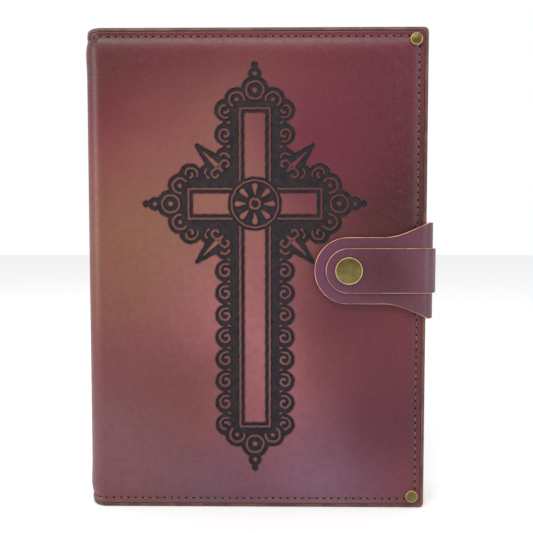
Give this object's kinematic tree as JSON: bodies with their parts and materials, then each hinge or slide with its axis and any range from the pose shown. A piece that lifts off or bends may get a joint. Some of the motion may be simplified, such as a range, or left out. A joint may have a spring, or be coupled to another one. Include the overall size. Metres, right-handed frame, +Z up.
{
  "type": "prayer book",
  "caption": "Hardbound prayer book in a slip-on leather cover with an engraved cross, riveted corners and a snap-closed wrap strap; covers, sections and strap move.",
  "frame": {"origin": "on the floor under the middle of the closed book, standing on its bottom edge", "axes": "+Z up the book's height, +X from the spine to the fore-edge, -Y out of the front cover"},
  "size_m": [0.165, 0.044, 0.225],
  "materials": {
    "cover_leather": "satin, hand dyed burgundy",
    "pocket_leather": "matt, undyed side out",
    "strap_leather": "satin, plum with raw edges",
    "seam_thread": "waxed thread",
    "binding_thread": "linen thread",
    "rivet_brass": "antique",
    "snap_brass": "antique",
    "board_cloth": "cloth-covered board",
    "endpaper": "matt",
    "page_paper": "matt",
    "headband": "woven"
  },
  "bodies": {
    "spine": {"spine_leather": "cover_leather", "front_joint_leather": "cover_leather", "back_joint_leather": "cover_leather", "spine_seam_thread": "seam_thread", "book_spine": "board_cloth"},
    "front_cover": {"front_leather": "cover_leather", "front_pocket": "pocket_leather", "front_board": "board_cloth", "front_endpaper": "endpaper", "front_seam_thread": "seam_thread", "front_rivet_caps": "rivet_brass", "front_rivet_posts": "rivet_brass", "snap_stud": "snap_brass", "snap_stud_post": "snap_brass"},
    "back_cover": {"back_leather": "cover_leather", "back_pocket": "pocket_leather", "back_board": "board_cloth", "back_endpaper": "endpaper", "back_seam_thread": "seam_thread", "back_rivet_caps": "rivet_brass", "back_rivet_posts": "rivet_brass", "strap_base_back": "strap_leather", "strap_top_back": "strap_leather", "strap_anchor_thread": "seam_thread", "strap_rivet_caps": "rivet_brass", "strap_rivet_posts": "rivet_brass"},
    "strap_side": {"strap_base_side": "strap_leather", "strap_top_side": "strap_leather"},
    "strap_tab": {"strap_base_tab": "strap_leather", "strap_top_tab": "strap_leather", "snap_cap": "snap_brass", "snap_socket": "snap_brass"},
    "block_fold": {"sewing_thread": "binding_thread"},
    "leaves_1": {"section_1": "page_paper", "front_flyleaf": "endpaper"},
    "leaves_2": {"section_2": "page_paper"},
    "leaves_3": {"section_3": "page_paper", "front_headbands": "headband"},
    "leaves_4": {"section_4": "page_paper"},
    "leaves_5": {"section_5": "page_paper"},
    "leaves_6": {"section_6": "page_paper", "back_headbands": "headband"},
    "leaves_7": {"section_7": "page_paper"},
    "leaves_8": {"section_8": "page_paper", "back_flyleaf": "endpaper"}
  },
  "joints": [
    {"name": "back_cover_fold", "type": "hinge", "parent": "spine", "child": "back_cover", "pos_m": [-0.07975, 0.01555, 0], "axis": [0, 0, 1], "range_deg": [0, 90], "deforming": ["back_joint_leather"]},
    {"name": "front_cover_fold", "type": "hinge", "parent": "spine", "child": "front_cover", "pos_m": [-0.07975, -0.01305, 0], "axis": [0, 0, -1], "range_deg": [0, 90], "deforming": ["front_joint_leather"]},
    {"name": "block_shift", "type": "slide", "parent": "spine", "child": "block_fold", "axis": [1, 0, 0], "range_m": [0, 0.0108]},
    {"name": "leaves_1_turn", "type": "hinge", "parent": "block_fold", "child": "leaves_1", "pos_m": [-0.07625, 0.00125, 0], "axis": [0, 0, -1], "range_deg": [0, 90]},
    {"name": "leaves_2_turn", "type": "hinge", "parent": "block_fold", "child": "leaves_2", "pos_m": [-0.07625, 0.00125, 0], "axis": [0, 0, -1], "range_deg": [0, 88.65]},
    {"name": "leaves_3_turn", "type": "hinge", "parent": "block_fold", "child": "leaves_3", "pos_m": [-0.07625, 0.00125, 0], "axis": [0, 0, -1], "range_deg": [0, 86.85]},
    {"name": "leaves_4_turn", "type": "hinge", "parent": "block_fold", "child": "leaves_4", "pos_m": [-0.07625, 0.00125, 0], "axis": [0, 0, -1], "range_deg": [0, 84.6]},
    {"name": "leaves_5_turn", "type": "hinge", "parent": "block_fold", "child": "leaves_5", "pos_m": [-0.07625, 0.00125, 0], "axis": [0, 0, 1], "range_deg": [0, 84.6]},
    {"name": "leaves_6_turn", "type": "hinge", "parent": "block_fold", "child": "leaves_6", "pos_m": [-0.07625, 0.00125, 0], "axis": [0, 0, 1], "range_deg": [0, 86.85]},
    {"name": "leaves_7_turn", "type": "hinge", "parent": "block_fold", "child": "leaves_7", "pos_m": [-0.07625, 0.00125, 0], "axis": [0, 0, 1], "range_deg": [0, 88.65]},
    {"name": "leaves_8_turn", "type": "hinge", "parent": "block_fold", "child": "leaves_8", "pos_m": [-0.07625, 0.00125, 0], "axis": [0, 0, 1], "range_deg": [0, 90]},
    {"name": "strap_swing", "type": "hinge", "parent": "back_cover", "child": "strap_side", "pos_m": [0.07785, 0.02115, 0], "axis": [0, 0, 1], "range_deg": [0, 120]},
    {"name": "tab_lift", "type": "hinge", "parent": "strap_side", "child": "strap_tab", "pos_m": [0.07355, -0.02065, 0], "axis": [0, 0, 1], "range_deg": [0, 110]}
  ],
  "couplings": [
    {"joint": "front_cover_fold", "follows": "back_cover_fold", "ratio": 1},
    {"joint": "block_shift", "follows": "back_cover_fold", "m_per_rad": 0.0068748},
    {"joint": "leaves_1_turn", "follows": "back_cover_fold", "ratio": 1},
    {"joint": "leaves_2_turn", "follows": "back_cover_fold", "ratio": 0.985},
    {"joint": "leaves_3_turn", "follows": "back_cover_fold", "ratio": 0.965},
    {"joint": "leaves_4_turn", "follows": "back_cover_fold", "ratio": 0.94},
    {"joint": "leaves_5_turn", "follows": "back_cover_fold", "ratio": 0.94},
    {"joint": "leaves_6_turn", "follows": "back_cover_fold", "ratio": 0.965},
    {"joint": "leaves_7_turn", "follows": "back_cover_fold", "ratio": 0.985},
    {"joint": "leaves_8_turn", "follows": "back_cover_fold", "ratio": 1}
  ]
}
